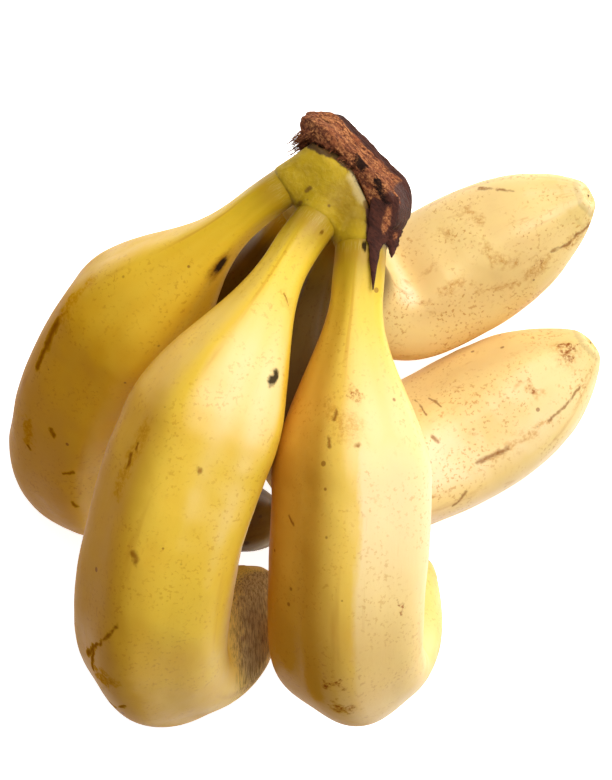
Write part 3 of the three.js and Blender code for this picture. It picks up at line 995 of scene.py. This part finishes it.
class HAND_OT_crown(Operator):
    """Blow up the fleshy crown: a ball and a sleeve about each stalk, merged below the cut"""

    bl_idname = "hand.crown"
    bl_label = "Crown"

    def execute(self, context):
        """The surface is where the soft union of a ball and of a round-rimmed sleeve about each
        stalk's root is zero, approached from outside along every direction from the centre. It
        stops just inside the back of the dried cut."""
        centre = np.array(CROWN["centre"], float)
        rings, sides, pole = 220, 300, 0.01
        polar = np.linspace(pole, np.pi - pole, rings)[:, None]
        azimuth = np.linspace(0, 2 * np.pi, sides, endpoint=False)
        way = np.stack(np.broadcast_arrays(
            np.sin(polar) * np.cos(azimuth), np.sin(polar) * np.sin(azimuth), -np.cos(polar)
        ), axis=-1)
        sleeves = []
        for banana in BANANAS.values():
            root, ahead = centreline(banana["guide"])[0](np.array([0.0, 1.0]))[0]
            radius = banana["stalk"] + CROWN["spare"]
            inner = CROWN["sleeve"] if root[2] > centre[2] else CROWN["low_sleeve"]
            half = (inner + CROWN["collar"]) / 2
            sleeves.append((root - centre, unit(ahead - root), radius, half))
        outside, approaches = 30.0, 50
        reach = np.full(way.shape[:2], outside)
        for _ in range(approaches):
            reach = reach - self.distance(way * reach[..., None], sleeves)
        reach = reach * (1 + 0.012 * lumps(way * 12, 5, 31, 3))
        # Flatter at its upper left.
        upper_left = unit(np.array([-0.65, 0.75, 0]))
        reach = reach * (1 - 0.13 * smoothstep(way @ upper_left, 0.7, 1.0))
        along, _, normal = cut_axes()
        start = centre - np.array(CUT["centre"])
        rise = way @ normal
        for _ in range(3):
            point = start + way * reach[..., None]
            back = -CUT["thick"] + CROWN["sunk"] - cut_sag(point @ along, -CUT["thick"])
            stop = np.where(rise > 1e-3, (back - start @ normal) / np.maximum(rise, 1e-3), 1e3)
            reach = np.where(stop > 0, np.minimum(reach, stop), reach)
        grid = centre + way * reach[..., None]
        point = grid - np.array(CUT["centre"])
        below = -CUT["thick"] - cut_sag(point @ along, -CUT["thick"]) - point @ normal
        faces = tube_faces(rings, sides)
        piece = new_piece("crown_flesh", tube_points(grid), faces)
        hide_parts("crown")
        # The dark edge below the cut gets narrower to the right.
        below = below + 1.3 * smoothstep(point @ along, -4, 8)
        set_values(piece, "below_cut", below * MM)
        piece.data.materials.append(crown_material())
        return {"FINISHED"}

    def distance(self, point, sleeves):
        """Distance from the soft union: minus the logarithm of the summed exponentials of minus the
        distances from the ball and from each sleeve, a short cylinder whose rim is rounded."""
        near = [np.linalg.norm(point, axis=-1) - CROWN["core"]]
        rim = CROWN["rim"]
        for root, tangent, radius, half in sleeves:
            offset = point - root
            along = offset @ tangent
            aside = np.linalg.norm(offset - along[..., None] * tangent, axis=-1) - radius
            past = np.abs(along + half - CROWN["collar"]) - half
            over = np.stack([aside, past], axis=-1) + rim
            outside = np.linalg.norm(np.maximum(over, 0), axis=-1)
            near.append(outside + np.minimum(over.max(axis=-1), 0) - rim)
        soft = CROWN["soft"]
        return -soft * np.log(np.exp(-np.stack(near) / soft).sum(axis=0))


class HAND_OT_dried_cut(Operator):
    """Make the dried, torn cut of the crown with its frayed fibres and hanging flaps"""

    bl_idname = "hand.dried_cut"
    bl_label = "Dried cut"

    def execute(self, context):
        pieces = [self.plate(), self.fringe()]
        pieces += [self.flap(name, left, right) for name, (left, right) in FLAPS.items()]
        material = dried_material()
        for piece in pieces:
            piece.data.materials.append(material)
        return {"FINISHED"}

    def plate(self):
        """Rings from the middle of the face over the rim to the middle of the back. Each ring is a
        share of a superellipse with a torn outline; its height follows the plate's profile, its
        curl, and ridged noise drawn out along the plate."""
        ring, share, height = np.transpose(CUT_PROFILE)
        step = np.arange(ring[-1] + 1)
        share, height = np.interp(step, ring, share), np.interp(step, ring, height)
        for _ in range(PROFILE_ROUNDING):
            share[1:-1] = (share[:-2] + 2 * share[1:-1] + share[2:]) / 4
            height[1:-1] = (height[:-2] + 2 * height[1:-1] + height[2:]) / 4
        angle = np.linspace(0, 2 * np.pi, 300, endpoint=False)
        ragged = 1 + 0.03 * np.sin(5 * angle - 0.6) + 0.02 * np.sin(11 * angle + 2)
        ray = np.stack([np.cos(angle), np.sin(angle), 0 * angle], axis=-1)
        torn = np.maximum(lumps(ray * 12, 2.2, 41, 3), -0.6)
        reach = share[:, None] * (cut_rim(angle) * ragged * (0.97 - 0.04 * torn))
        a, b = reach * np.cos(angle), reach * np.sin(angle)
        height = np.broadcast_to(height[:, None], a.shape)
        # Its left end slants inwards behind the face, where it is also less thick than the solid's.
        left = smoothstep(-a, 4, 13)
        thinned = 0.5 * left * (cut_sag(a, height) - cut_sag(a, 0))
        sag = cut_sag(a, height) - thinned
        behind = np.maximum(-height, 0) * smoothstep(share, 0.4, 0.9)[:, None]
        flat = np.stack([a, b, height], axis=-1)
        a = a + TORN_SLANT * (left * behind + thinned)
        strands = 1 - 2 * np.abs(lumps(flat * (0.35, 1, 1), 1.3, 43, 3))
        pits = lumps(flat, 4.5, 47, 3)
        face = smoothstep(height, -2.0, -0.8)
        # A smooth rind covers the outer rim and the right end, but for a bare streak.
        streak = np.exp(-(((b + 6) / 2.5) ** 2)) * smoothstep(a, 19, 14)
        rind = np.maximum(smoothstep(b, 5.5, 8.5), smoothstep(a, 10, 15)) * (1 - streak)
        rind = np.maximum(rind, smoothstep(-height, 1, 1.8) * smoothstep(b, -8, 0))
        relief = (0.5 * strands + 0.6 * pits) * (0.45 + 0.55 * face) * (1 - 0.65 * rind)
        rise = height + relief * np.where(height < -1.6, 0.25, 0.75) - sag
        faces = tube_faces(len(step), len(angle))
        piece = new_piece("cut_plate", tube_points(on_cut(a, b, rise)), faces)
        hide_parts("crown_cut")
        set_values(piece, "relief", relief)
        set_values(piece, "rind", rind)
        return piece

    def fringe(self):
        """Thin frayed strands round the torn end of the plate: each is a tapered tube along a bent
        line that starts at the rim and droops."""
        rng = np.random.default_rng(5)
        count, steps, sides = 300, 8, 5
        angle = np.radians(np.concatenate(
            [rng.uniform(120, 300, count // 2), rng.normal(185, 22, count // 2)]
        ))
        rim = cut_rim(angle)
        t = np.linspace(0, 1, steps)
        torn_end = np.exp(-(((angle - np.pi) / 0.6) ** 2))
        length = rng.uniform(1.2, 3.5, count) + 3 * torn_end * rng.uniform(0, 1, count)
        lean = angle + rng.normal(0, 0.35, count)
        inset = 0.93 - 0.2 * torn_end * rng.uniform(0, 1, count)
        out = 0.35 * length[:, None] * t
        a = (rim * np.cos(angle) * inset)[:, None] + np.cos(lean)[:, None] * out
        b = (rim * np.sin(angle) * 0.93)[:, None] + np.sin(lean)[:, None] * out
        start = rng.uniform(0.2, 1.2, count) + torn_end * rng.uniform(2.5, 5.5, count)
        drop = start[:, None] + 0.9 * length[:, None] * t**1.3
        h = -0.4 - drop - cut_sag(a, 0)
        line = on_cut(a + (TORN_SLANT * torn_end * start)[:, None], b, h)
        line += rng.normal(0, 0.12, line.shape)
        thick = (rng.uniform(0.09, 0.2, count) * (1 + torn_end))[:, None] * (1 - 0.8 * t)
        turn = np.linspace(0, 2 * np.pi, sides, endpoint=False)[:, None]
        way = unit(np.gradient(line, axis=1))
        one = unit(np.cross(way, cut_axes()[0]))
        two = np.cross(way, one)
        ring = np.cos(turn) * one[..., None, :] + np.sin(turn) * two[..., None, :]
        grids = line[..., None, :] + thick[..., None, None] * ring
        points = np.concatenate([tube_points(grid) for grid in grids])
        tubes = [tube_faces(steps, sides, k * (steps * sides + 2)) for k in range(count)]
        faces = [np.concatenate(part) for part in zip(*tubes)]
        piece = new_piece("cut_fringe", points, faces)
        for name, value in (("relief", 0.3), ("rind", 0.0)):
            layer = piece.data.attributes.new(name, "FLOAT", "POINT")
            layer.data.foreach_set("value", np.full(len(points), value, np.float32))
        return piece

    def flap(self, name, left, right):
        """A flap of dried skin: a closed sheet between two guided edges, with an arched back, a
        wavy outline and a point at its lower end."""
        t = np.linspace(0, 1, 60)
        wave = 1 + 0.08 * np.sin(17 * t) + 0.05 * np.sin(41 * t)
        left, right = guided_curve(left, t), guided_curve(right, t)
        half = (right - left) / 2 * wave[:, None]
        turn = np.linspace(0, 2 * np.pi, 28, endpoint=False)
        middle = ((left + right) / 2)[:, None] + half[:, None] * np.cos(turn)[:, None]
        wide = np.linalg.norm(half, axis=1)[:, None]
        lift = 0.3 + 0.35 * np.sin(turn) + 0.16 * wide * np.sin(turn) ** 2
        upwards = np.array([0.1, -0.1, 1])
        grid = middle + lift[..., None] * upwards
        faces = tube_faces(len(t), len(turn))
        piece = new_piece(name, tube_points(grid), faces)
        set_values(piece, "relief", np.broadcast_to(0.1 * np.sin(turn), grid.shape[:2]))
        bare = np.exp(-(((t[:, None] - 0.2) / 0.17) ** 2) - ((np.cos(turn) - 0.3) / 0.35) ** 2)
        set_values(piece, "rind", 1 - bare)
        return piece


class HAND_OT_studio(Operator):
    """Set up the pale floor, the soft lights and the camera that looks straight down"""

    bl_idname = "hand.studio"
    bl_label = "Studio"

    def execute(self, context):
        look = context.scene.banana_studio
        self.floor(look)
        self.light("key", power=look.key, size=1.0, place=(0.62, 0.5, 0.8), tint=(1, 0.98, 0.95))
        self.light("top", power=look.top, size=0.6, place=(0.1, 0.3, 1.1), tint=(1, 1, 1))
        world = bpy.data.worlds.new("room")
        world.use_nodes = True
        background = world.node_tree.nodes["Background"]
        background.inputs["Color"].default_value = (1, 1, 1, 1)
        background.inputs["Strength"].default_value = look.sky
        context.scene.world = world
        context.scene.view_settings.view_transform = "Standard"
        self.camera(context)
        return {"FINISHED"}

    def floor(self, look):
        """A round pale floor just below the hand, which gives off light as a light table does."""
        bpy.ops.mesh.primitive_circle_add(
            vertices=96, radius=4, fill_type="NGON", location=(0, 0, -0.0003)
        )
        floor = bpy.context.object
        floor.name = "floor"

        def build(n, shader):
            shader.inputs["Base Color"].default_value = (0.9, 0.9, 0.9, 1)
            shader.inputs["Roughness"].default_value = 0.7
            shader.inputs["Emission Color"].default_value = (1, 1, 1, 1)
            shader.inputs["Emission Strength"].default_value = look.glow

        floor.data.materials.append(surface("floor", build))

    def light(self, name, power, size, place, tint):
        """A soft square light that aims at the middle of the hand."""
        lamp = bpy.data.lights.new(name, "AREA")
        lamp.energy = power
        lamp.size = size
        lamp.color = tint
        lamp_object = bpy.data.objects.new(name, lamp)
        lamp_object.location = place
        aim = Vector((0, 0, 0.05)) - Vector(place)
        lamp_object.rotation_euler = aim.to_track_quat("-Z", "Y").to_euler()
        bpy.context.scene.collection.objects.link(lamp_object)

    def camera(self, context):
        """A long lens straight above the hand, with the image's top towards the crown."""
        lens = bpy.data.cameras.new("camera")
        lens.lens = 96
        lens.sensor_width = 36
        camera = bpy.data.objects.new("camera", lens)
        camera.location = (-0.0005, 0.009, 0.6)
        context.scene.collection.objects.link(camera)
        context.scene.camera = camera


class HAND_PT_panel(Panel):
    """Buttons and settings of the banana hand"""

    bl_label = "Banana Hand"
    bl_idname = "HAND_PT_panel"
    bl_space_type = "VIEW_3D"
    bl_region_type = "UI"
    bl_category = "Banana Hand"

    def draw(self, context):
        for group in GROUPS:
            box = self.layout.box()
            settings = getattr(context.scene, group)
            for key in settings.bl_rna.properties.keys():
                if key not in ("rna_type", "name"):
                    box.prop(settings, key)
        for step in OPERATORS:
            self.layout.operator(step.bl_idname)


GROUPS = {
    "banana_hand": HandSizes,
    "banana_peel": PeelLook,
    "banana_crown": CrownLook,
    "banana_studio": StudioLook,
}
OPERATORS = (HAND_OT_bananas, HAND_OT_crown, HAND_OT_dried_cut, HAND_OT_studio)


def register():
    for group in GROUPS.values():
        bpy.utils.register_class(group)
    for name, group in GROUPS.items():
        setattr(bpy.types.Scene, name, PointerProperty(type=group))
    for step in (*OPERATORS, HAND_PT_panel):
        bpy.utils.register_class(step)


def unregister():
    for step in reversed((*OPERATORS, HAND_PT_panel)):
        bpy.utils.unregister_class(step)
    for name in GROUPS:
        delattr(bpy.types.Scene, name)
    for group in GROUPS.values():
        bpy.utils.unregister_class(group)


def main():
    register()
    bpy.ops.hand.bananas()
    bpy.ops.hand.crown()
    bpy.ops.hand.dried_cut()
    bpy.ops.hand.studio()


if __name__ == "__main__":
    main()
